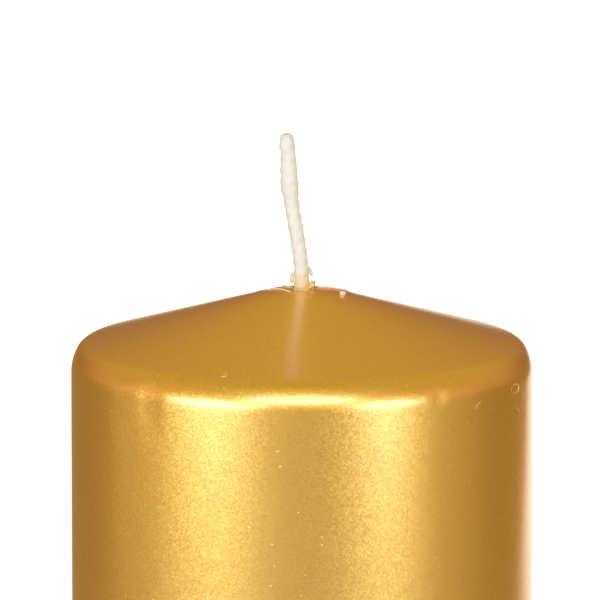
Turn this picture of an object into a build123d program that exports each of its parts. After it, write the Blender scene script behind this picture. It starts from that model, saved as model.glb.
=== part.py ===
from build123d import *
import os
from math import asin, cos, degrees, hypot, radians, sin, tan

# A lacquered pillar candle: a wax pillar with a shallow cone for a top, a skin of harder
# dipped wax, a film of metallic lacquer that is broken open round the wick, and a waxed
# cotton wick that a tinplate foot holds at the base.
# Millimetres. +Z is up along the pillar's axis, and the origin is the middle of the base.
# The wick leans towards -X, and the chips at its foot lie towards -Y, -X and +X.

# The pillar
BODY_DIAMETER = 60.0
BODY_HEIGHT = 100.0             # base to the lip of the dimple round the wick
CONE_SLOPE = 16.0               # degrees down from level
SHOULDER_SIDE_RADIUS = 5.7      # the slower bend, where the side starts to turn in
SHOULDER_SIDE_TURN = 30.0       # degrees turned by that bend
SHOULDER_TOP_RADIUS = 1.95      # the tighter bend, up to the cone
BASE_EDGE_RADIUS = 1.6
DIMPLE_LIP_RADIUS = 3.5
DIMPLE_DEPTH = 0.45

# The layers
FILM = 0.15                     # lacquer
SKIN = 1.0                      # dipped wax under the lacquer
FILM_OPENING_RADIUS = 1.9       # where the lacquer is broken open round the wick
FILM_TURN_IN = 2.0              # how far the lacquer runs in under the base

# The wick
WICK_DIAMETER = 1.7             # the cotton alone
WICK_COAT = 0.12                # wax on the cotton
WICK_END_HEIGHT = 0.6           # its cut end, above the base
WICK_HEAD_CAP = 0.4             # wax over its top end
# Each bend of the open wick: X, Y, height above the wax at its foot, and how far from the
# bend the curve starts. The last point is the wick's top end.
WICK_BENDS = [(0.0, 0.0, 3.1, 1.4), (-1.45, 0.25, 12.6, 2.0), (-1.67, 0.5, 17.2, 1.5)]
WICK_TOP = (-1.93, 0.55, 20.6)

# The wax collar that climbs the wick's foot
COLLAR_RADIUS = 1.6
COLLAR_HEIGHT = 1.4
COLLAR_EDGE = 0.15              # its thickness at the rim

# The tinplate foot
FOOT_DIAMETER = 20.0
FOOT_SHEET = 0.3
FOOT_NECK_HEIGHT = 6.0
FOOT_NECK_BEND = 0.8            # inside radius between the neck and the disc
FOOT_CLEARANCE = 0.5            # round the disc, in its recess
RECESS_DEPTH = 1.2

# Chips broken loose when the wick was straightened
CHIP_THICKNESS = 0.15
CURL_THICKNESS = 0.25
CRUMB_SIZE = 0.8
CRUMB_PLACE = (5.3, -1.3)
CHIP_SINK = 0.06                # how deep a loose piece is stuck into what it lies on

# Worked out from the sizes above
BODY_RADIUS = BODY_DIAMETER / 2
APEX_HEIGHT = BODY_HEIGHT + DIMPLE_LIP_RADIUS * tan(radians(CONE_SLOPE))
DIMPLE_SPHERE = (DIMPLE_LIP_RADIUS**2 + DIMPLE_DEPTH**2) / (2 * DIMPLE_DEPTH)
WICK_RADIUS = WICK_DIAMETER / 2
COAT_RADIUS = WICK_RADIUS + WICK_COAT
WAX_BASE = FILM                 # the bare wax of the base is a film's thickness off the floor
RECESS_TOP = WAX_BASE + RECESS_DEPTH
NECK_RADIUS = WICK_RADIUS + FOOT_SHEET
FLOOR_HEIGHT = BODY_HEIGHT - DIMPLE_DEPTH - FILM     # the wax at the wick's foot
CAP_BREADTH = WICK_RADIUS / 2   # a top narrower than this is a point


def cone_height(radius, depth=0.0):
    """Height of the top's cone at a radius, for the surface moved inwards by depth."""
    return APEX_HEIGHT - radius * tan(radians(CONE_SLOPE)) - depth / cos(radians(CONE_SLOPE))


def shoulder_places():
    """Middles of the two bends of the shoulder: the side's bend, then the cone's bend."""
    slope = radians(CONE_SLOPE)
    turn = radians(SHOULDER_SIDE_TURN)
    step = SHOULDER_SIDE_RADIUS - SHOULDER_TOP_RADIUS
    side_middle = BODY_RADIUS - SHOULDER_SIDE_RADIUS
    top_middle = side_middle + step * cos(turn)
    tangent_radius = top_middle + SHOULDER_TOP_RADIUS * sin(slope)
    top_height = cone_height(tangent_radius) - SHOULDER_TOP_RADIUS * cos(slope)
    return (side_middle, top_height - step * sin(turn)), (top_middle, top_height)


def bend(middle, radius, start, end):
    """An arc in the section plane between two angles, in degrees from level."""
    angles = (radians(start), radians((start + end) / 2), radians(end))
    points = [(middle[0] + radius * cos(a), 0, middle[1] + radius * sin(a)) for a in angles]
    return ThreePointArc(*points)


def turned(*edges):
    """The solid turned from an outer line, with flat ends where it stops short of the axis."""
    outer = Wire(edges)
    top = outer @ 1
    closing = [(0, 0, top.Z), (0, 0, (outer @ 0).Z), outer @ 0]
    if top.X > CAP_BREADTH:
        closing.insert(0, top)
    return revolve(make_face(Wire([*outer.edges(), *Polyline(*closing).edges()])), axis=Axis.Z)


def pillar(depth):
    """The pillar's body with its side and top moved inwards by depth, with a square base."""
    side_bend, top_bend = shoulder_places()
    first = bend(side_bend, SHOULDER_SIDE_RADIUS - depth, 0, SHOULDER_SIDE_TURN)
    second = bend(top_bend, SHOULDER_TOP_RADIUS - depth, SHOULDER_SIDE_TURN, 90 - CONE_SLOPE)
    side = Line((BODY_RADIUS - depth, 0, min(depth, WAX_BASE)), first @ 0)
    return turned(side, first, second, Line(second @ 1, (0, 0, cone_height(0, depth))))


def round_based(depth):
    """The same with the base's edge rounded."""
    middle = (BODY_RADIUS - BASE_EDGE_RADIUS, BASE_EDGE_RADIUS)
    edge = bend(middle, BASE_EDGE_RADIUS - depth, -90, 0)
    rise = Line(edge @ 1, (BODY_RADIUS - depth, 0, BODY_HEIGHT))
    return pillar(depth) & turned(edge, rise)


def upright(radius, bottom, top):
    """A round bar on the axis."""
    standing = (Align.CENTER, Align.CENTER, Align.MIN)
    return Pos(0, 0, bottom) * Cylinder(radius, top - bottom, align=standing)


def dimple(depth):
    """The ball that hollows the top, with its surface moved down by depth."""
    return Pos(0, 0, BODY_HEIGHT - DIMPLE_DEPTH + DIMPLE_SPHERE) * Sphere(DIMPLE_SPHERE + depth)


def wax_height(radius):
    """Height of the bare wax in the dimple at a radius."""
    ball = DIMPLE_SPHERE + FILM
    return FLOOR_HEIGHT + ball - (ball**2 - radius**2) ** 0.5


def wick_points():
    """The wick's line: straight up from the base, then its bends and its top end."""
    bends = [(x, y, FLOOR_HEIGHT + up) for x, y, up, reach in WICK_BENDS]
    top = (WICK_TOP[0], WICK_TOP[1], FLOOR_HEIGHT + WICK_TOP[2])
    return [(0, 0, WICK_END_HEIGHT), *bends, top]


def wick_line(start_height):
    """The wick's middle line from a height on its upright stretch to its top end."""
    points = [Vector(*p) for p in wick_points()]
    points[0] = Vector(0, 0, start_height)
    radii = []
    for before, here, after, (x, y, up, reach) in zip(points, points[1:], points[2:], WICK_BENDS):
        turn = (here - before).get_angle(after - here)
        radii.append(reach / tan(radians(turn) / 2))
    return FilletPolyline(*points, radius=radii)


def rod(radius, start_height):
    """A round rod along the wick's line."""
    line = wick_line(start_height)
    return sweep(Plane(line @ 0, z_dir=line % 0) * Circle(radius), path=line)


def make_wick():
    return rod(WICK_RADIUS, WICK_END_HEIGHT)


def make_wick_coat(wick, skin):
    """Wax on the open wick, with a rounded cap on its head."""
    outside = rod(COAT_RADIUS, FLOOR_HEIGHT)
    line = wick_line(FLOOR_HEIGHT)
    head = Plane(line @ 1, z_dir=line % 1)
    cap = head * upright(COAT_RADIUS, 0, WICK_HEAD_CAP)
    cap = fillet(cap.edges().sort_by(Axis.Z)[-1], WICK_HEAD_CAP * 0.9)
    return outside + cap - wick - skin


def make_collar():
    """Wax that climbs the wick's foot in a hollow curve and meets the wick upright."""
    low = wax_height(COAT_RADIUS)
    edge = wax_height(COLLAR_RADIUS) + COLLAR_EDGE
    top = FLOOR_HEIGHT + COLLAR_HEIGHT
    out = COLLAR_RADIUS - COAT_RADIUS
    curve = (out**2 + (top - edge) ** 2) / (2 * out)
    hollow = bend((COAT_RADIUS + curve, top), curve, 180 + degrees(asin((top - edge) / curve)), 180)
    body = turned(Line((COLLAR_RADIUS, 0, low), hollow @ 0), hollow)
    return (body & dimple(FILM)) - upright(COAT_RADIUS, low - COLLAR_HEIGHT, top)


def make_foot():
    """The stamped tinplate disc with a drawn neck that grips the wick, and its outside filled."""
    low = RECESS_TOP - FOOT_SHEET
    under_bend = FOOT_NECK_BEND + FOOT_SHEET
    corner = NECK_RADIUS + FOOT_NECK_BEND
    disc = upright(FOOT_DIAMETER / 2, low, RECESS_TOP)
    neck = upright(NECK_RADIUS, low, RECESS_TOP + FOOT_NECK_HEIGHT)
    hill = upright(corner, low, RECESS_TOP + FOOT_NECK_BEND)
    hill -= Pos(0, 0, RECESS_TOP + FOOT_NECK_BEND) * Torus(corner, FOOT_NECK_BEND)
    hollow = upright(corner, low, low + under_bend)
    hollow -= Pos(0, 0, low + under_bend) * Torus(corner, under_bend)
    filled = disc + neck + hill
    bore = upright(WICK_RADIUS, low, RECESS_TOP + FOOT_NECK_HEIGHT)
    return filled - hollow - bore, filled


def make_core(filled_foot):
    """The pressed pillar of wax, with a bore for the wick and a recess for its foot."""
    core = (pillar(FILM + SKIN) & round_based(FILM)) - dimple(FILM + SKIN)
    core -= upright(FOOT_DIAMETER / 2 + FOOT_CLEARANCE, 0, RECESS_TOP)
    core -= upright(WICK_RADIUS, 0, APEX_HEIGHT)
    return core - filled_foot


def make_skin():
    """The harder wax that the pillar was dipped in, down to the base."""
    skin = round_based(FILM) - dimple(FILM)
    skin -= pillar(FILM + SKIN) - dimple(FILM + SKIN)
    return skin - upright(WICK_RADIUS, 0, APEX_HEIGHT)


def make_film():
    """The lacquer: over the top, down the side and round the base's edge."""
    film = (round_based(0) - dimple(0)) - (round_based(FILM) - dimple(FILM))
    film -= upright(FILM_OPENING_RADIUS, BODY_HEIGHT - BODY_RADIUS, APEX_HEIGHT)
    return film - upright(BODY_RADIUS - BASE_EDGE_RADIUS - FILM_TURN_IN, 0, FILM)


def chip(outline, thickness, place, turn):
    """A flat chip: an outline drawn in its own X and Y, put at place and turned."""
    face = make_face(Polyline(*outline, close=True))
    return Location(place, turn) * extrude(face, thickness)


def make_chips(stuck_to):
    """The loose pieces at the wick's foot, each cut to what it is stuck to."""
    reach = COAT_RADIUS - CHIP_SINK
    flake_left = chip(
        [(-3.2, -0.5), (-2.3, -0.7), (-reach, -0.35), (-reach, 0.4), (-2.0, 0.75), (-2.9, 0.3)],
        CHIP_THICKNESS, (0, 0.2, BODY_HEIGHT - 0.3), (4, 11, 0))
    flake_right = chip(
        [(reach, -0.25), (1.45, -0.35), (2.1, -0.1), (2.0, 0.35), (1.5, 0.5), (reach, 0.3)],
        CHIP_THICKNESS, (0, -0.2, BODY_HEIGHT + 0.05), (12, -28, 0))
    curl_left = chip(
        [(0.0, 0.0), (0.35, 0.1), (0.45, 0.75), (0.4, 1.45), (0.05, 1.1), (-0.25, 0.5)],
        CURL_THICKNESS, (-COAT_RADIUS - 0.28, 0.1, FLOOR_HEIGHT + 1.25), (90, 0, -8))
    curl_right = chip(
        [(-0.15, 0.0), (0.2, 0.05), (0.35, 0.5), (0.2, 1.25), (0.0, 1.1), (-0.2, 0.6)],
        CURL_THICKNESS, (COAT_RADIUS - 0.04, 0.1, FLOOR_HEIGHT + 2.3), (90, 0, 12))
    chips = {
        "lacquer_flake_left": flake_left,
        "lacquer_flake_right": flake_right,
        "wax_curl_left": curl_left,
        "wax_curl_right": curl_right,
    }
    for name in chips:
        for body in stuck_to:
            chips[name] -= body
    return chips


def make_crumb(film):
    """A crumb of wax that lies on the cone."""
    radius = hypot(*CRUMB_PLACE)
    place = (*CRUMB_PLACE, cone_height(radius) + CRUMB_SIZE * 0.3)
    crumb = Location(place, (20, 14, 30)) * Box(CRUMB_SIZE, CRUMB_SIZE * 0.7, CRUMB_SIZE * 0.6)
    return chamfer(crumb.edges(), CRUMB_SIZE * 0.12) - film


def main():
    foot, filled_foot = make_foot()
    skin = make_skin()
    film = make_film()
    wick = make_wick()
    wick_coat = make_wick_coat(wick, skin)
    collar = make_collar()
    nodes = {
        "wax_core": make_core(filled_foot),
        "dipped_skin": skin,
        "lacquer_film": film,
        "wick": wick,
        "wick_wax_coat": wick_coat,
        "wick_foot_collar": collar,
        "wick_sustainer": foot,
        **make_chips([wick, wick_coat, collar, skin, film]),
        "wax_crumb": make_crumb(film),
    }
    os.makedirs("parts", exist_ok=True)
    for name, shape in nodes.items():
        export_step(shape, f"parts/{name}.step")


main()
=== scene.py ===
# %% [markdown]
# # A lacquered pillar candle
# This lesson dresses a pillar candle. The engineering model gives the frame: every wax, wick and tin
# piece at its true size. Here each surface that the eye meets gets its real form and finish.
# First the frame is loaded.

# %% Load the frame
from math import atan2, cos, degrees, exp, hypot, pi, radians, sin, tan

import bmesh
import bpy
from mathutils import Matrix, Vector, noise


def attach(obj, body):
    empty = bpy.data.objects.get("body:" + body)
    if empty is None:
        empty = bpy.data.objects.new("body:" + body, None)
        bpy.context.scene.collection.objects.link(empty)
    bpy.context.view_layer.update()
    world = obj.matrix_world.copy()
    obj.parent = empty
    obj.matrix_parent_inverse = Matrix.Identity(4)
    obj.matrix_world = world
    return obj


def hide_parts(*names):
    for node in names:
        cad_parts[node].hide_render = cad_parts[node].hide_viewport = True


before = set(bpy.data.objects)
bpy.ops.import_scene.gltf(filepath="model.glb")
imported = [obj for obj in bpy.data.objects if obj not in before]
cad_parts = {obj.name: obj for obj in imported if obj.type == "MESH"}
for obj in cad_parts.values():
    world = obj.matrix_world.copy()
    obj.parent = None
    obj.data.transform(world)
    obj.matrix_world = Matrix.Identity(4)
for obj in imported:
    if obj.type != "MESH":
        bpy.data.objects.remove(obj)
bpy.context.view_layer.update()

print("nodes", sorted(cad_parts))

# %% [markdown]
# ## Millimetres, and a piece made from a bmesh
# Blender works in metres, but a candle is thought of in millimetres, so every shape here is drawn in
# millimetres and scaled once, when its mesh is finished. `make_piece` does that for every piece: it
# scales the mesh, smooths its shading, gives it its material and makes it ride on the one body.

# %% A piece from a bmesh in millimetres
MM = 0.001


def link_mesh(name, bm, material):
    mesh = bpy.data.meshes.new(name)
    bm.to_mesh(mesh)
    bm.free()
    mesh.materials.append(material)
    made = bpy.data.objects.new(name, mesh)
    bpy.context.collection.objects.link(made)
    return made


def make_piece(name, bm, material, stands_for=()):
    bmesh.ops.scale(bm, vec=(MM, MM, MM), verts=bm.verts)
    piece = link_mesh(name, bm, material)
    piece.data.shade_smooth()
    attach(piece, "root")
    if stands_for:
        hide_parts(*stands_for)
    print(name, len(piece.data.polygons), "faces")
    return piece


# %% [markdown]
# ## The camera
# A product shot like this is taken from far off with a long lens, so that the sides of the pillar stay
# parallel. The camera looks down ten degrees and frames the top of the candle.

# %% Place the camera
VIEW_ELEVATION = 10.0     # degrees
VIEW_DISTANCE = 2000.0
VIEW_WIDTH = 78.0         # what the frame spans at the candle's axis
VIEW_TARGET = (-0.22, 0.0, 98.5)

camera_data = bpy.data.cameras.new("camera")
camera = bpy.data.objects.new("camera", camera_data)
bpy.context.collection.objects.link(camera)
bpy.context.scene.camera = camera
camera_data.lens = camera_data.sensor_width * VIEW_DISTANCE / VIEW_WIDTH
camera_data.clip_end = 20
tilt = radians(VIEW_ELEVATION)
back = Vector((0, -cos(tilt), sin(tilt)))
camera.location = (Vector(VIEW_TARGET) + back * VIEW_DISTANCE) * MM
camera.rotation_euler = (-back).to_track_quat("-Z", "Y").to_euler()
print("lens", round(camera_data.lens), "mm")

# %% [markdown]
# ## Colour and nodes
# Colours are read off swatches as sRGB hex values. The renderer adds up light in linear values, so one
# function turns a swatch to linear. One small function adds a shader node with its settings and links.

# %% Swatches and nodes


def swatch(code):
    channels = [int(code[i:i + 2], 16) / 255 for i in (1, 3, 5)]
    return (*[c / 12.92 if c <= 0.04045 else ((c + 0.055) / 1.055) ** 2.4 for c in channels], 1.0)


def add_node(tree, kind, inputs=None, **settings):
    made = tree.nodes.new(kind)
    for name, value in settings.items():
        setattr(made, name, value)
    for socket, value in (inputs or {}).items():
        if isinstance(value, bpy.types.NodeSocket):
            tree.links.new(value, made.inputs[socket])
        else:
            made.inputs[socket].default_value = value
    return made


def start_material(name):
    """A new material, its node tree, and the place on the object of the point being shaded."""
    material = bpy.data.materials.new(name)
    material.use_nodes = True
    tree = material.node_tree
    tree.nodes.clear()
    return material, tree, add_node(tree, "ShaderNodeTexCoord").outputs["Object"]


def finish_material(tree, **inputs):
    named = {name.replace("_", " "): value for name, value in inputs.items()}
    shader = add_node(tree, "ShaderNodeBsdfPrincipled", named)
    add_node(tree, "ShaderNodeOutputMaterial", {"Surface": shader.outputs[0]})


print("mid grey is", round(swatch("#808080")[0], 3), "in linear light")

# %% [markdown]
# A few patterns come back in most of the materials: noise and cells whose size is in millimetres, a
# ramp between two values, a blend of two colours, a bump whose depth is in millimetres, and sums and
# products of values.

# %% Patterns


def grain(tree, place, size, detail):
    return add_node(tree, "ShaderNodeTexNoise", {"Vector": place, "Scale": 1 / (size * MM),
                                                 "Detail": detail}).outputs[0]


def cells(tree, place, size, **settings):
    return add_node(tree, "ShaderNodeTexVoronoi", {"Vector": place, "Scale": 1 / (size * MM)}, **settings)


def ramp(tree, value, start, full, **settings):
    return add_node(tree, "ShaderNodeMapRange", {"Value": value, "From Min": start, "From Max": full},
                    **settings).outputs[0]


def blend(tree, factor, first, second):
    """Between two colours, each a swatch's code, a linear colour or a socket."""
    first, second = [swatch(colour) if isinstance(colour, str) else colour for colour in (first, second)]
    return add_node(tree, "ShaderNodeMix", {"Factor": factor, "A": first, "B": second},
                    data_type="RGBA").outputs["Result"]


def bump(tree, height, strength, depth, **settings):
    return add_node(tree, "ShaderNodeBump", {"Height": height, "Strength": strength,
                                             "Distance": depth * MM}, **settings).outputs[0]


def calculate(tree, operation, *values):
    return add_node(tree, "ShaderNodeMath", dict(enumerate(values)), operation=operation).outputs[0]


# %% [markdown]
# ## Gold lacquer
# The candle was dipped in a clear lacquer that carries flakes of bronze pigment. Each flake is a tiny
# mirror, a few hundredths of a millimetre across, lying nearly flat, and the clear resin on top has a
# satin shine of its own. So the base is metallic and fairly rough, a clear coat lies on it, and a
# Voronoi pattern tips each flake a little, which makes the fine sparkle. The flakes are drawn 0.14 mm
# across, coarser than real ones, so that they show at this size. A second, wider Voronoi pattern puts
# a small pale speck of dust or wax in some places of the coat.

# %% Gold lacquer material
FLAKE_SIZE = 0.14
FLAKE_TIP = 0.11          # how far a flake's normal leans
RUN_SIZE = 9.0            # the slow waves that a dipped coat keeps
NIB_SPACING = 1.8         # how far apart the specks are,
NIB_SIZE = 0.25           # and how wide
NIB_EDGE = (0.6, 0.4)     # a speck's outside and its full height, as shares of its size

gold_lacquer, tree, place = start_material("bronze_flake_lacquer_dipped")
flakes = cells(tree, place, FLAKE_SIZE).outputs["Color"]
tones = add_node(tree, "ShaderNodeSeparateXYZ", {0: flakes})
tip = add_node(tree, "ShaderNodeVectorMath", {0: flakes, 1: (0.5, 0.5, 0.5)}, operation="SUBTRACT")
lean = add_node(tree, "ShaderNodeVectorMath", {0: tip.outputs[0], "Scale": FLAKE_TIP}, operation="SCALE")
nib_outside, nib_full = [share * NIB_SIZE / NIB_SPACING for share in NIB_EDGE]
nibs = ramp(tree, cells(tree, place, NIB_SPACING).outputs["Distance"], nib_outside, nib_full,
            interpolation_type="SMOOTHSTEP")
relief = calculate(tree, "ADD", grain(tree, place, RUN_SIZE, 3.0), nibs)
wavy = bump(tree, relief, 0.25, 0.1)
tipped = add_node(tree, "ShaderNodeVectorMath", {0: wavy, 1: lean.outputs[0]}, operation="ADD")
flake_normal = add_node(tree, "ShaderNodeVectorMath", {0: tipped.outputs[0]}, operation="NORMALIZE")
tone = blend(tree, tones.outputs["X"], "#eeb347", "#fac954")
finish_material(tree, Base_Color=blend(tree, nibs, tone, "#ffdf9a"), Metallic=1.0, Roughness=0.34,
                Specular_Tint=(1.0, 0.6, 0.2, 1.0), Normal=flake_normal.outputs[0], Coat_Weight=1.0,
                Coat_Roughness=0.19, Coat_IOR=1.9, Coat_Normal=wavy)
print("gold lacquer: flakes", FLAKE_SIZE, "mm")

# %% [markdown]
# Where the lacquer is scraped or torn its flakes are broken up and mixed with wax, so it is paler and
# duller than the whole coat.

# %% Scuffed lacquer
SCUFF_SIZE = 0.3

scuffed, tree, place = start_material("bronze_flake_lacquer_scuffed")
tone = blend(tree, grain(tree, place, SCUFF_SIZE, 2.0), "#d6a95a", "#fff0c2")
finish_material(tree, Base_Color=tone, Metallic=0.3, Roughness=0.45)
print("scuffs", SCUFF_SIZE, "mm")

# %% [markdown]
# ## Wax and cotton
# Paraffin wax lets light in a little way and scatters it, so its shadows are soft and its colour looks
# deeper than its surface. Subsurface scattering does this, with a reach between 0.3 and 1.5 mm. The
# core was pressed from wax beads, whose outlines stay visible at the base.

# %% Wax materials
BEAD_SIZE = 1.4
WAX_IOR = 1.44

dipped_wax, tree, place = start_material("paraffin_dipped_smooth")
relief = bump(tree, grain(tree, place, 0.6, 4.0), 0.4, 0.1)
finish_material(tree, Base_Color=swatch("#f6e6c4"), Roughness=0.4, IOR=WAX_IOR, Subsurface_Weight=0.5,
                Subsurface_Radius=(1.0, 0.7, 0.4), Subsurface_Scale=1.2 * MM, Normal=relief)

# The pale wax serves the crumb and the crest beads; on the beads its pale pink is partly a painted
# highlight.
pale_wax, tree, place = start_material("paraffin_torn")
torn = grain(tree, place, 0.2, 3.0)
finish_material(tree, Base_Color=blend(tree, torn, "#f7dccb", "#fff6ea"), Roughness=0.35, IOR=WAX_IOR,
                Subsurface_Weight=0.05, Subsurface_Radius=(1.0, 0.7, 0.4), Subsurface_Scale=0.3 * MM,
                Normal=bump(tree, torn, 0.4, 0.05))

pressed_wax, tree, place = start_material("paraffin_beads_pressed")
beads = cells(tree, place, BEAD_SIZE, feature="SMOOTH_F1").outputs["Distance"]
both = calculate(tree, "MULTIPLY_ADD", beads, grain(tree, place, 0.3, 5.0), 0.3)
finish_material(tree, Base_Color=blend(tree, beads, "#f3ecdb", "#e4d9c0"), Roughness=0.55, IOR=WAX_IOR,
                Subsurface_Weight=0.4, Subsurface_Radius=(1.0, 0.8, 0.5), Subsurface_Scale=1.5 * MM,
                Normal=bump(tree, both, 0.5, 0.15, invert=True))
print("wax beads", BEAD_SIZE, "mm")

# %% [markdown]
# The wick's cotton was drawn through hot wax, so it is nearly white, with the wax deepest and warmest
# at the foot, where the lacquer has stained it. That warm foot is partly the stain and partly a painted
# reflection of the warm light that the gold throws onto the wick. A colour ramp up the height makes
# that change, and fine bumps along the wick are the cotton's plies under the wax.

# %% Wick materials
# The warm foot's colour is partly stain and partly a painted reflection of warm light bounced from the gold.
FOOT_HEIGHT = 99.8
STAIN_AND_BOUNCE_HEIGHT = 4.0        # how far the stain climbs
STAIN_AND_BOUNCE_PATCHES = 1.6       # the size of its uneven patches
PLY_SIZE = 0.25
FIBRE_SIZE = 0.08

primed_cotton, tree, place = start_material("cotton_wax_primed")
height = add_node(tree, "ShaderNodeSeparateXYZ", {0: place}).outputs["Z"]
climb = ramp(tree, height, FOOT_HEIGHT * MM, (FOOT_HEIGHT + STAIN_AND_BOUNCE_HEIGHT) * MM,
             interpolation_type="SMOOTHSTEP")
uneven = calculate(tree, "ADD", climb, grain(tree, place, STAIN_AND_BOUNCE_PATCHES, 2.0))
# f7d598 at the foot is the stain together with a painted warm bounce from the gold; #f0efea is the wax
# above.
tone = blend(tree, ramp(tree, uneven, 0.45, 1.3), "#f7d598", "#f0efea")
relief = bump(tree, grain(tree, place, PLY_SIZE, 3.0), 0.35, 0.08)
finish_material(tree, Base_Color=tone, Roughness=0.42, IOR=WAX_IOR, Subsurface_Weight=0.5,
                Subsurface_Radius=(1.0, 0.85, 0.6), Subsurface_Scale=0.6 * MM, Normal=relief)

bare_cotton, tree, place = start_material("cotton_yarn_braided")
fibres = grain(tree, place, FIBRE_SIZE, 4.0)
finish_material(tree, Base_Color=blend(tree, fibres, "#e6dfce", "#faf6ea"), Roughness=0.85,
                Sheen_Weight=0.3, Normal=bump(tree, fibres, 0.6, 0.05))
print("stain and painted bounce climb", STAIN_AND_BOUNCE_HEIGHT, "mm")

# %% [markdown]
# ## Tinplate
# The wick's foot is stamped from steel sheet with a thin coat of tin, rolled bright. The stamping die
# draws the metal towards the neck, which leaves fine radial lines.

# %% Tinplate material
DRAWN_LINES = 60.0        # the pattern's scale, over directions rather than millimetres

tinplate, tree, place = start_material("tinplate_stamped")
outwards = add_node(tree, "ShaderNodeVectorMath", {0: place}, operation="NORMALIZE")
drawn = add_node(tree, "ShaderNodeTexNoise", {"Vector": outwards.outputs[0], "Scale": DRAWN_LINES,
                                              "Detail": 4.0}).outputs[0]
shine = add_node(tree, "ShaderNodeMapRange", {"Value": drawn, "To Min": 0.25, "To Max": 0.45})
finish_material(tree, Base_Color=swatch("#cfcfca"), Metallic=1.0, Roughness=shine.outputs[0],
                Normal=bump(tree, drawn, 0.2, 0.05))
print("tinplate", tinplate.name)

# %% [markdown]
# ## The pillar's surface
# The body is round, so its surface is an outline spun about the axis: the base's edge, the side, the
# two bends of the shoulder, and the cone. The lacquer and the wax skin under it are the same surface
# at two depths. `spin` does the turning, and its last step is merged with the first.

# %% The outline of the body
RADIUS = 30.0
CONE_SLOPE = radians(16.0)
SIDE_BEND = (24.3, 89.2, 5.7)          # middle's radius, middle's height, radius of the bend
TOP_BEND = (27.548, 91.075, 1.95)
SIDE_TURN = radians(30.0)
APEX = 101.0                           # where the cone would end in a point
CROWN_RADIUS = 6.0
EDGE_ROUND = 1.6
TURN_IN = 2.0
MOUTH = 1.3                            # radius at which the outline ends, beside the wick
FINE_ABOVE = 76.0                      # the side's rings are closer above this height,
FINE_WITHIN = 7.0                      # and the cone's inside this radius
ROUND_STEPS = 144


def cone_height(radius):
    """The cone, whose point is rounded off inside CROWN_RADIUS."""
    inside = max(CROWN_RADIUS - radius, 0)
    return APEX - tan(CONE_SLOPE) * (radius + inside * inside / (2 * CROWN_RADIUS))


def bend_points(middle, height, radius, start, end, steps):
    angles = [start + (end - start) * i / steps for i in range(steps + 1)]
    return [(middle + radius * cos(a), height + radius * sin(a)) for a in angles]


def evenly(start, end, steps):
    return [start + (end - start) * (i + 1) / steps for i in range(steps)]


def body_outline(depth, fineness):
    """Points (radius, height) from under the base to the wick, for the surface moved in by depth."""
    points = [(RADIUS - EDGE_ROUND - TURN_IN, depth)]
    points += bend_points(RADIUS - EDGE_ROUND, EDGE_ROUND, EDGE_ROUND - depth, -pi / 2, 0, 6 * fineness)
    low_side = evenly(EDGE_ROUND, FINE_ABOVE, 7 * fineness)
    high_side = evenly(FINE_ABOVE, SIDE_BEND[1], 10 * fineness)
    points += [(RADIUS - depth, height) for height in low_side + high_side[:-1]]
    points += bend_points(*SIDE_BEND[:2], SIDE_BEND[2] - depth, 0, SIDE_TURN, 4 * fineness)[:-1]
    points += bend_points(*TOP_BEND[:2], TOP_BEND[2] - depth, SIDE_TURN, pi / 2 - CONE_SLOPE, 4 * fineness)
    down = depth / cos(CONE_SLOPE)
    last = points[-1][0]
    cone = evenly(last, FINE_WITHIN, 8 * fineness) + evenly(FINE_WITHIN, MOUTH, 34 * fineness)
    return points + [(radius, cone_height(radius) - down) for radius in cone]


def spun(outline, steps):
    bm = bmesh.new()
    corners = [bm.verts.new((radius, 0, height)) for radius, height in outline]
    for first, second in zip(corners, corners[1:]):
        bm.edges.new((first, second))
    bmesh.ops.spin(bm, geom=bm.verts[:] + bm.edges[:], cent=(0, 0, 0), axis=(0, 0, 1),
                   angle=2 * pi, steps=steps, use_merge=True)
    bmesh.ops.remove_doubles(bm, verts=bm.verts, dist=1e-5)
    bmesh.ops.recalc_face_normals(bm, faces=bm.faces)
    return bm


print("outline", len(body_outline(0, 2)), "points")

# %% [markdown]
# ## What handling did to the top
# No dipped candle is a perfect solid of revolution. Straightening the wick pressed a small dimple round
# its foot, with a trough to the left, and pushed the coat up into a low ridge on either side. The coat
# ran a little before it set, which left an upright groove on the left shoulder, and a knock left a
# small dent on the right one. Each mark is a smooth move of the surface's points, so it shows in the
# outline and in the reflections.

# %% Smooth curves and swells


def through(points, value):
    """A smooth curve through points whose first number rises, read at that number."""
    value = min(max(value, points[0][0]), points[-1][0])
    index = max(i for i in range(len(points) - 1) if points[i][0] <= value)
    near = [points[min(max(index + k, 0), len(points) - 1)] for k in (-1, 0, 1, 2)]
    share = (value - near[1][0]) / (near[2][0] - near[1][0])
    result = []
    for a, b, c, d in zip(*[p[1:] for p in near]):
        result.append(b + 0.5 * share * (c - a + share * (2 * a - 5 * b + 4 * c - d
                                                          + share * (3 * (b - c) + d - a))))
    return result


def swell(distance, reach):
    return exp(-(distance / reach) ** 2)


def fade_in(value, start, full):
    return min(max((value - start) / (full - start), 0), 1)


print("a swell one reach away:", round(swell(1, 1), 3))

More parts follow.
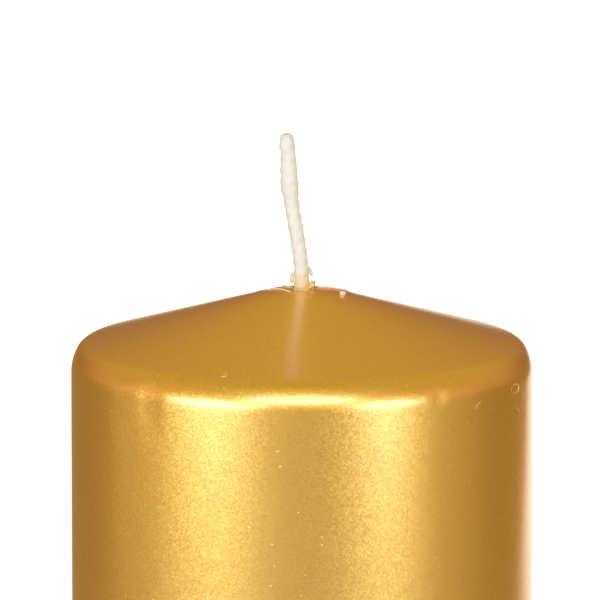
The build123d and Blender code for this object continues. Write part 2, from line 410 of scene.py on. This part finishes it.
# %% Marks pressed into the body
DIMPLE = (0.0, -0.2, 1.7, 0.3)                 # x, y, reach, depth
TROUGH = [(-4.6, 2.2), (-3.4, 0.9), (-2.4, 0.1), (-1.2, -0.3)]
TROUGH_REACH, TROUGH_DEPTH = 0.45, 0.3
RIDGE_LEFT = [(-5.4, 2.2), (-4.1, 1.0), (-2.8, -0.5), (-2.2, -1.55), (-1.3, -2.9)]
RIDGE_RIGHT = [(1.7, 0.3), (2.7, 0.8), (3.7, 1.3), (5.0, 2.2), (6.1, 3.2)]
RIDGE_REACH, RIDGE_HEIGHT = 0.22, 0.09
GROOVE = (radians(-41.0), 1.75, 0.16)          # angle from the front, reach, depth
GROOVE_FOOT, GROOVE_HEAD = (83.5, 87.5), (93.0, 91.0)      # heights where it starts and is full
DENT = (radians(36.4), 90.0, 0.85, 0.13)       # angle, height, reach, depth
WAVE, WAVE_SIZE, WAVE_STRETCH = 0.03, 7, 0.3


def away_from(path, x, y):
    """How far a place is from a path of points."""
    nearest = 1e9
    for (ax, ay), (bx, by) in zip(path, path[1:]):
        along = ((x - ax) * (bx - ax) + (y - ay) * (by - ay)) / ((bx - ax) ** 2 + (by - ay) ** 2)
        along = min(max(along, 0), 1)
        nearest = min(nearest, hypot(x - ax - along * (bx - ax), y - ay - along * (by - ay)))
    return nearest


def pressed_by(x, y):
    """How far the top's surface is pressed down near the wick, less what is pushed up."""
    down = DIMPLE[3] * swell(hypot(x - DIMPLE[0], y - DIMPLE[1]), DIMPLE[2])
    down += TROUGH_DEPTH * swell(away_from(TROUGH, x, y), TROUGH_REACH)
    for ridge in (RIDGE_LEFT, RIDGE_RIGHT):
        down -= RIDGE_HEIGHT * swell(away_from(ridge, x, y), RIDGE_REACH)
    return down


def press_marks(bm):
    for corner in bm.verts:
        x, y, z = corner.co
        radius, angle = hypot(x, y), atan2(x, -y)
        around = radius * (angle - GROOVE[0])
        ends = fade_in(z, *GROOVE_FOOT) * fade_in(z, *GROOVE_HEAD)
        inward = GROOVE[2] * exp(-(around / GROOVE[1]) ** 4) * ends
        from_dent = hypot(radius * (angle - DENT[0]), z - DENT[1])
        inward += DENT[3] * swell(from_dent, DENT[2])
        inward += WAVE * (0.5 + 0.5 * noise.noise(Vector((x, y, z * WAVE_STRETCH)) / WAVE_SIZE))
        if z > EDGE_ROUND:
            corner.co.x -= x / radius * inward
            corner.co.y -= y / radius * inward
        if radius < FINE_WITHIN:
            corner.co.z -= pressed_by(x, y)


print("pressed", round(pressed_by(*DIMPLE[:2]), 2), "mm at the dimple")

# %% [markdown]
# The lacquer broke where it met the wick, so its inner edge is ragged. The points near the wick are
# drawn in or out by an amount that changes with the angle.

# %% The ragged mouth of the lacquer
MOUTH_RAGS = ((0.22, 3.1, 0), (0.11, 9, 5))       # for coarse and fine rags: depth, how fine, seed
MOUTH_OPEN = (radians(-60), 0.5, 0.75)    # angle from the front, how wide, and how much further out
TORN_WITHIN = 4                           # the radius inside which the points are moved


def tear_mouth(bm):
    for corner in bm.verts:
        x, y = corner.co.xy
        radius, angle = hypot(x, y), atan2(x, -y)
        if radius < TORN_WITHIN:
            share = fade_in(radius, TORN_WITHIN, MOUTH) ** 2
            rag = MOUTH_OPEN[2] * swell(angle - MOUTH_OPEN[0], MOUTH_OPEN[1])
            for depth, fineness, seed in MOUTH_RAGS:
                rag += depth * noise.noise(Vector((cos(angle), sin(angle), seed)) * fineness)
            corner.co.x += x / radius * rag * share
            corner.co.y += y / radius * rag * share


# %% Lacquer and dipped skin
FILM = 0.13
SKIN = 0.9
FILM_GAP = 0.02           # keeps the skin's face clear of the film's


def thicken(piece, thickness, offset):
    layer = piece.modifiers.new("thickness", "SOLIDIFY")
    layer.thickness = thickness * MM
    layer.offset = offset


bm = spun(body_outline(0, 2), 2 * ROUND_STEPS)
tear_mouth(bm)
press_marks(bm)
lacquer = make_piece("lacquer_film_gold", bm, gold_lacquer, ["lacquer_film"])
thicken(lacquer, FILM, -1)

bm = spun(body_outline(FILM + FILM_GAP, 1), ROUND_STEPS)
press_marks(bm)
skin = make_piece("dipped_wax_skin", bm, dipped_wax, ["dipped_skin"])
thicken(skin, SKIN, -1)

# %% [markdown]
# ## The pressed core and the tin foot
# The shapes of the core and of the wick's tin foot are already right in the frame, and only their
# undersides are seen, so they keep their meshes and get the pressed wax and the tinplate.

# %% Finish the core and the tin foot
for node, material in (("wax_core", pressed_wax), ("wick_sustainer", tinplate)):
    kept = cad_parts[node]
    kept.data.materials.clear()
    kept.data.materials.append(material)
    print(node, "is", material.name)

# %% [markdown]
# ## The wick's line
# The wick stands upright at its foot, leans to the left and straightens again near the top. A few
# points set its line, and a Catmull-Rom curve through them keeps it smooth.

# %% Where the wick runs
WICK_FOOT = 99.4
WICK_LINE = [(0.0, 0.0, 0.0), (1.7, 0.0, 0.0), (4.0, -0.14, 0.02), (7.0, -0.52, 0.1), (9.7, -0.98, 0.18),
             (12.3, -1.38, 0.26), (14.9, -1.63, 0.38), (17.3, -1.70, 0.46), (19.6, -1.90, 0.52),
             (21.0, -1.93, 0.55)]      # height above the foot, x, y


def wick_middle(height):
    if height <= WICK_FOOT:
        return Vector((0, 0, height))
    x, y = through(WICK_LINE, height - WICK_FOOT)
    return Vector((x, y, height))


print("wick's tip", wick_middle(120.4))

# %% [markdown]
# ## The braid
# A pillar's wick is a round braid: four yarns wind one way and four the other, each passing over one
# and under the next. Each yarn is a curve whose distance from the middle rises and falls as it goes
# over and under. `tube_mesh` gives the curves a round bevel and turns them into one mesh, and the
# thin beads of wax and the nicks are made with it too.

# %% Tubes along lines


def tube_mesh(lines, radius):
    """A bmesh of round tubes, one along each line of points (x, y, z, share of the radius)."""
    curve = bpy.data.curves.new("tubes", "CURVE")
    curve.dimensions = "3D"
    curve.bevel_depth = radius
    curve.bevel_resolution = 1
    curve.use_fill_caps = True
    for line in lines:
        spline = curve.splines.new("POLY")
        spline.points.add(len(line) - 1)
        for point, (x, y, z, share) in zip(spline.points, line):
            point.co = (x, y, z, 1)
            point.radius = share
    holder = bpy.data.objects.new("tubes", curve)
    mesh = bpy.data.meshes.new_from_object(holder)
    bpy.data.objects.remove(holder)
    bm = bmesh.new()
    bm.from_mesh(mesh)
    return bm


# %% Braid the wick
BRAID_PITCH = 6.0
BRAID_RADIUS = 0.46
YARN_RADIUS = 0.3
WEAVE = 0.1
WICK_END, WICK_TOP = 0.6, 120.0
YARNS_EACH_WAY = 4
STEPS_PER_PITCH = 16

steps = int((WICK_TOP - WICK_END) / BRAID_PITCH * STEPS_PER_PITCH)
heights = [WICK_END + (WICK_TOP - WICK_END) * i / steps for i in range(steps + 1)]
yarns = []
for way in (1, -1):
    for yarn in range(YARNS_EACH_WAY):
        line = []
        for height in heights:
            turn = 2 * pi * height / BRAID_PITCH
            angle = way * turn + 2 * pi * (yarn + (0.5 if way < 0 else 0)) / YARNS_EACH_WAY
            out = BRAID_RADIUS + way * WEAVE * cos(YARNS_EACH_WAY * turn + pi * yarn)
            line.append((*(wick_middle(height) + Vector((cos(angle), sin(angle), 0)) * out), 1.0))
        yarns.append(line)
make_piece("wick_braid", tube_mesh(yarns, YARN_RADIUS), bare_cotton, ["wick"])

# %% [markdown]
# ## Wax on the wick
# The priming wax fills the braid, so its diamonds show only as soft swellings. The coat starts as a
# circle, drawn up in short steps by `spin` with no turn. Its points are then moved out to the
# wick's girth at each height, swollen by the braid, and carried on to the wick's line.

# %% Coat the wick
GIRTH = [(0.0, 1.08), (1.2, 0.97), (3.0, 0.94), (7.0, 0.95), (11.0, 0.95), (12.4, 0.98), (13.4, 1.1),
         (14.6, 1.15), (15.5, 1.1), (16.8, 1.06), (18.2, 0.95), (19.1, 0.99), (20.1, 0.94), (20.6, 0.8)]
COAT_TOP = 120.35
COAT_STEPS = 150
COAT_SIDES = 40
BRAID_SWELL = 0.045
UNEVEN = 0.07             # how far the wax is uneven, whatever the braid does
HEAD_ROUND = 0.55
HEAD_FLAT = 0.4           # the share of the girth that stays flat on top

bm = bmesh.new()
bmesh.ops.create_circle(bm, radius=1, segments=COAT_SIDES)
rise = (COAT_TOP - WICK_FOOT) / COAT_STEPS
bmesh.ops.spin(bm, geom=bm.verts[:] + bm.edges[:], cent=(0, 0, 0), axis=(0, 0, 1), angle=0,
               dvec=(0, 0, rise), steps=COAT_STEPS, use_merge=False)
bmesh.ops.holes_fill(bm, edges=[e for e in bm.edges if e.is_boundary and e.verts[0].co.z > rise * 2])
head = [f for f in bm.faces if len(f.verts) > 4]
bmesh.ops.poke(bm, faces=head)
bmesh.ops.recalc_face_normals(bm, faces=bm.faces)
for corner in bm.verts:
    up = corner.co.z
    angle = atan2(corner.co.y, corner.co.x)
    girth = through(GIRTH, up)[0]
    turn = 2 * pi * (WICK_FOOT + up) / BRAID_PITCH
    girth += BRAID_SWELL * cos(YARNS_EACH_WAY * angle) * cos(YARNS_EACH_WAY * turn)
    girth += UNEVEN * noise.noise(Vector((cos(angle), sin(angle), up * 0.9)))
    from_top = COAT_TOP - WICK_FOOT - up
    if from_top < HEAD_ROUND:
        round_share = max(1 - (1 - from_top / HEAD_ROUND) ** 2, 0) ** 0.5
        girth *= round_share * (1 - HEAD_FLAT) + HEAD_FLAT
    flat = Vector((corner.co.x, corner.co.y, 0)) * girth
    corner.co = wick_middle(WICK_FOOT + up) + flat
make_piece("wick_wax", bm, primed_cotton, ["wick_wax_coat"])

# %% [markdown]
# ## The collar
# Each time the candle was dipped, wax climbed the wick and set in a hollow curve. The collar is spun
# from that curve, and its rim is pulled unevenly, with one tongue that runs down to the front left.

# %% Spin the collar
COLLAR_RADIUS, COLLAR_NECK = 1.25, 0.9
COLLAR_RIM, COLLAR_HEIGHT = 0.42, 1.2     # how high the rim stands, and the whole
COLLAR_CURVE = 2.2
COLLAR_STEPS = 8
COLLAR_TILT = 0.05
TONGUE = (radians(-62), 0.3, 0.45)        # angle from the front, how wide, and how far out
RIM_RAG = 0.12

outline = [(COLLAR_RADIUS, 0.0)]
for i in range(COLLAR_STEPS + 1):
    share = i / COLLAR_STEPS
    outline.append((COLLAR_NECK + (COLLAR_RADIUS - COLLAR_NECK) * (1 - share) ** COLLAR_CURVE,
                    COLLAR_RIM + (COLLAR_HEIGHT - COLLAR_RIM) * share))
bm = spun(outline, 48)
for corner in bm.verts:
    x, y, z = corner.co
    radius, angle = hypot(x, y), atan2(x, -y)
    share = max(1 - z / COLLAR_HEIGHT, 0) ** 2
    out = TONGUE[2] * swell(angle - TONGUE[0], TONGUE[1]) * share
    out += RIM_RAG * noise.noise(Vector((cos(angle) * 2, sin(angle) * 2, z))) * share
    corner.co.x += x / radius * out
    corner.co.y += y / radius * out
    corner.co.z += WICK_FOOT + COLLAR_TILT * x
make_piece("wick_foot_wax", bm, primed_cotton, ["wick_foot_collar"])

# %% [markdown]
# ## Pale lines along the crests
# Where the coat was pushed up into ridges it cracked along their crests, and a thin pale line shows
# there: partly the wax under the crack, partly a painted highlight along the crest. Each line is a bead
# of pale wax that follows its ridge, partly sunk in the lacquer and thinner towards its ends.

# %% Lay the beads
BEAD_RADIUS = 0.14
BEAD_RISE = 0.06
BEAD_POINTS = 24
BEAD_TAPER = (4, 9)                       # how steeply it thickens at its start and thins at its end


def along_path(path, share):
    step = share * (len(path) - 1)
    return through([(i, *place) for i, place in enumerate(path)], step)


def top_height(x, y):
    return cone_height(hypot(x, y)) - pressed_by(x, y)


# Each bead's pale colour is partly wax and partly a painted highlight along its crest.
for side, ridge in (("left", RIDGE_LEFT), ("right", RIDGE_RIGHT)):
    line = []
    for i in range(BEAD_POINTS + 1):
        share = i / BEAD_POINTS
        x, y = along_path(ridge, share)
        thin = min(share * BEAD_TAPER[0], (1 - share) * BEAD_TAPER[1], 1)
        thin *= 0.8 + 0.4 * noise.noise(Vector((x, y, 0)) * 3)
        line.append((x, y, top_height(x, y) + BEAD_RISE, thin))
    make_piece(f"crest_wax_painted_highlight_{side}", tube_mesh([line], BEAD_RADIUS), pale_wax)

# %% [markdown]
# ## Nicks in the coat
# Handling left a few nicks: scratches, a fibre caught in the lacquer, and the rims of two burst
# bubbles. The lacquer is scuffed and pale along each. Each is a fine bead laid on the body, drawn in
# degrees round from the front and millimetres up, so `on_body` finds the radius of the surface at
# that height.

# %% Lay the nicks
NICK_RADIUS = 0.075
NICK_TIP = 0.4                            # how thin a scratch's ends are, as a share
SCRATCHES = [[(65.5, 99.72), (70.5, 99.7)], [(47.9, 87.7), (49.0, 88.3), (50.6, 88.6)],
             [(48.8, 87.9), (49.6, 88.0)], [(67.0, 86.6), (69.0, 86.0), (70.6, 85.5)],
             [(71.8, 85.8), (75.2, 84.7)], [(13.6, 82.2), (14.4, 82.5), (15.5, 82.3)],
             [(-24.5, 86.1), (-23.6, 86.3)]]
BUBBLES = [(67.0, 88.9, 1.25, 0.62), (-21.6, 93.2, 0.45, 0.14)]    # degrees, height, half width, half height
RIM_STEPS = 24

side_and_top = sorted((z, radius) for radius, z in body_outline(0, 2) if z > EDGE_ROUND)


def on_body(degrees_round, height):
    """The place on the body's surface at an angle and a height, where the cone counts as height too."""
    radius = through(side_and_top, height)[0]
    angle = radians(degrees_round)
    return radius * sin(angle), -radius * cos(angle), height


lines = []
for scratch in SCRATCHES:
    tips = (0, len(scratch) - 1)
    lines.append([(*on_body(*place), NICK_TIP if i in tips else 1.0) for i, place in enumerate(scratch)])
make_piece("scratches", tube_mesh(lines, NICK_RADIUS), scuffed)

lines = []
for degrees_round, height, half_width, half_height in BUBBLES:
    half_angle = half_width * degrees(1 / RADIUS)
    turns = [2 * pi * i / RIM_STEPS for i in range(RIM_STEPS + 1)]
    lines.append([(*on_body(degrees_round + half_angle * cos(a), height + half_height * sin(a)),
                   0.7 + 0.5 * cos(a)) for a in turns])
make_piece("bubble_rims", tube_mesh(lines, NICK_RADIUS), scuffed)

# %% [markdown]
# ## Flakes, curls and a crumb
# Trimming the wick tore a few scraps loose. Two flakes of lacquer stand beside the wick, a curl and a
# sliver of wax cling to it, and a crumb lies on the cone. A scrap is a small grid whose edge is torn,
# rolled up a little and crumpled by noise, and Solidify gives it the thickness of the film.

# %% Make a scrap
SCRAP_GRID = 12
TEAR = (0.5, 1.6)                         # how deep the edge is torn, as a share, and how finely
CORNERS = 0.7                             # 0 would leave a grid's square corners
SPREAD = 1.25                             # makes up for what the tearing takes off
CRUMPLES = 4


def make_scrap(name, material, node, middle, size, lean, roll, crumple, thickness, seed):
    """A scrap whose size is (width, height), leaning by turns about X, Y and Z, rolled by an angle."""
    bm = bmesh.new()
    bmesh.ops.create_grid(bm, x_segments=SCRAP_GRID, y_segments=SCRAP_GRID, size=0.5)
    turned = Matrix.Rotation(lean[2], 3, "Z") @ Matrix.Rotation(lean[1], 3, "Y")
    turned = turned @ Matrix.Rotation(lean[0], 3, "X")
    for corner in bm.verts:
        u, v = corner.co.xy
        angle = atan2(v, u)
        ragged = noise.noise(Vector((cos(angle) * TEAR[1], sin(angle) * TEAR[1], seed)))
        torn = 1 - TEAR[0] * (0.5 + 0.5 * ragged)
        rounding = max(abs(cos(angle)), abs(sin(angle))) ** CORNERS
        reach = hypot(u, v) * torn * rounding * SPREAD
        u, v = cos(angle) * reach, sin(angle) * reach
        bend = u * roll
        out = crumple * noise.noise(Vector((u * CRUMPLES, v * CRUMPLES, seed + 7)))
        flat = Vector((sin(bend) / roll * size[0], (1 - cos(bend)) / roll * size[0] + out, v * size[1]))
        corner.co = Vector(middle) + turned @ flat
    scrap = make_piece(name, bm, material, [node])
    thicken(scrap, thickness, 0)
    smoother = scrap.modifiers.new("smoother", "SUBSURF")
    smoother.levels = smoother.render_levels = 1
    return scrap


# %% Scraps at the wick
make_scrap("lacquer_scrap_left", scuffed, "lacquer_flake_left", (-1.85, -0.35, 100.12),
           (1.75, 0.75), (radians(35), radians(12), radians(-8)), 1.3, 0.22, 0.06, 3)
make_scrap("lacquer_scrap_right", scuffed, "lacquer_flake_right", (1.42, -0.35, 100.55),
           (1.0, 1.45), (radians(10), radians(14), radians(20)), 2.0, 0.3, 0.06, 5)
make_scrap("wax_scrap_left", dipped_wax, "wax_curl_left", (-1.12, -0.25, 101.45),
           (0.95, 1.6), (radians(-8), radians(10), radians(30)), 3.6, 0.16, 0.12, 8)
make_scrap("wax_scrap_right", dipped_wax, "wax_curl_right", (1.12, -0.2, 102.3),
           (0.62, 1.5), (radians(6), radians(-14), radians(-20)), 2.6, 0.14, 0.1, 12)

# %% The crumb
CRUMB_PLACE = (5.3, -1.3)
CRUMB_SIZE = (0.72, 0.5, 0.5)
CRUMB_ROUGH = 0.22
CRUMB_RISE = 0.38                         # its middle's height above the cone, as a share of its own

bm = bmesh.new()
bmesh.ops.create_cube(bm, size=1)
bmesh.ops.subdivide_edges(bm, edges=bm.edges[:], cuts=4, use_grid_fill=True)
middle = Vector((*CRUMB_PLACE, top_height(*CRUMB_PLACE) + CRUMB_SIZE[2] * CRUMB_RISE))
for corner in bm.verts:
    corner.co += corner.co.normalized() * CRUMB_ROUGH * noise.noise(corner.co * 2.2 + Vector((3, 1, 4)))
    corner.co = middle + Vector([c * size for c, size in zip(corner.co, CRUMB_SIZE)])
bmesh.ops.smooth_vert(bm, verts=bm.verts, factor=0.4, use_axis_x=True, use_axis_y=True, use_axis_z=True)
make_piece("wax_crumb_broken", bm, pale_wax, ["wax_crumb"])

# %% [markdown]
# ## The floor and the light
# The candle stands on a pale table whose material itself glows behind the candle: a painted glow, with
# no lamp under the table, so that the background is white. That painted glow rises smoothly with the
# distance behind the candle and stops to the left and the right, so that the candle's sides mirror
# little of it. Two softboxes stand close to the table, left and right of the camera, and make the two
# upright highlights. A third hangs over the camera and lights the shoulder. Each has a brighter middle,
# where its bulb is. A dim warm card on each side fills the body's edges, and the room around is warm,
# and darker low down behind the candle.

# %% Floor
FLOOR_SPAN = 8.0
FLOOR_DROP = 0.02 * MM                    # keeps the table's face off the candle's base
GLOW_BEHIND = (0.12, 0.3)                 # metres behind the candle where the glow starts and is full
GLOW_LEFT, GLOW_RIGHT = (-0.1, -0.05), (0.26, 0.2)        # the same, to the left and the right
PAINTED_GLOW = 1.0

glowing_table_paint, tree, place = start_material("white_table_painted_glow")
parts = add_node(tree, "ShaderNodeSeparateXYZ", {0: place})
glow = PAINTED_GLOW
for axis, span in (("Y", GLOW_BEHIND), ("X", GLOW_LEFT), ("X", GLOW_RIGHT)):
    rise = ramp(tree, parts.outputs[axis], *span, interpolation_type="SMOOTHSTEP")
    glow = calculate(tree, "MULTIPLY", glow, rise)
# The emission is painted glow: the table shines by itself behind the candle, with no lamp under it.
finish_material(tree, Base_Color=swatch("#c2bfc4"), Roughness=0.9, Emission_Color=swatch("#ffffff"),
                Emission_Strength=glow)
bm = bmesh.new()
bmesh.ops.create_grid(bm, x_segments=1, y_segments=1, size=FLOOR_SPAN / 2,
                      matrix=Matrix.Translation((0, 0, -FLOOR_DROP)))
floor = link_mesh("floor", bm, glowing_table_paint)

# %% Softboxes
AIM = Vector((0, 0, 80)) * MM
SOFTBOX_COLOUR = (0.77, 0.98, 1.25)
CARD_COLOUR = (1.0, 0.85, 0.5)


def hang_softbox(name, shape, azimuth, elevation, distance, size, radiance, colour=SOFTBOX_COLOUR):
    """A softbox seen from the candle at an azimuth (0 is the camera, + to its right) and elevation."""
    lamp = bpy.data.lights.new(name, "AREA")
    lamp.shape = shape
    lamp.size, lamp.size_y = size
    lamp.color = colour
    lamp.energy = radiance * pi * size[0] * size[1]
    box = bpy.data.objects.new(name, lamp)
    bpy.context.collection.objects.link(box)
    a, e = radians(azimuth), radians(elevation)
    towards = Vector((sin(a) * cos(e), -cos(a) * cos(e), sin(e)))
    box.location = AIM + towards * distance
    box.rotation_euler = towards.to_track_quat("Z", "Y").to_euler()
    box.visible_camera = False
    print(name, round(lamp.energy, 2), "W")


hang_softbox("softbox_left", "ELLIPSE", -43, 3, 0.34, (0.35, 0.13), 1.45)
hang_softbox("softbox_left_bulb", "ELLIPSE", -43, 2, 0.33, (0.22, 0.08), 2.1)
hang_softbox("softbox_right", "ELLIPSE", 40.5, 2, 0.34, (0.27, 0.13), 1.25)
hang_softbox("softbox_right_bulb", "ELLIPSE", 41, 1.5, 0.33, (0.16, 0.08), 2.0)
hang_softbox("softbox_over_camera", "ELLIPSE", 0, 20, 0.5, (0.5, 0.2), 1.3)
hang_softbox("softbox_over_camera_bulb", "RECTANGLE", 0, 19, 0.48, (0.42, 0.065), 3.4)
hang_softbox("card_left", "ELLIPSE", -80, -4, 0.36, (0.34, 0.26), 0.22, CARD_COLOUR)
hang_softbox("card_right", "ELLIPSE", 72, -4, 0.36, (0.3, 0.26), 0.12, CARD_COLOUR)

# %% The room
ROOM_LOW, ROOM_HIGH = (0.63, 0.385, 0.2, 1.0), (0.6, 0.485, 0.155, 1.0)
ROOM_CHANGE = (0.1, 0.6)                  # the heights between, as parts of the direction
ROOM_DIM = 0.5                            # how much darker it is low behind the candle
DIM_BEHIND = (0.5, 0.85)                  # where that starts and is full, as parts of the direction
DIM_HEIGHT = (0.65, 0.1)                  # the same, as it gets lower

world = bpy.data.worlds.new("studio")
bpy.context.scene.world = world
world.use_nodes = True
tree = world.node_tree
direction = add_node(tree, "ShaderNodeTexCoord").outputs["Generated"]
parts = add_node(tree, "ShaderNodeSeparateXYZ", {0: direction})
dim = -ROOM_DIM
for axis, span in (("Y", DIM_BEHIND), ("Z", DIM_HEIGHT)):
    dim = calculate(tree, "MULTIPLY", dim, ramp(tree, parts.outputs[axis], *span))
strength = calculate(tree, "ADD", dim, 1.0)
walls = blend(tree, ramp(tree, parts.outputs["Z"], *ROOM_CHANGE), ROOM_LOW, ROOM_HIGH)
room_light = tree.nodes["Background"]
tree.links.new(walls, room_light.inputs["Color"])
tree.links.new(strength, room_light.inputs["Strength"])
bpy.context.scene.view_settings.view_transform = "Standard"
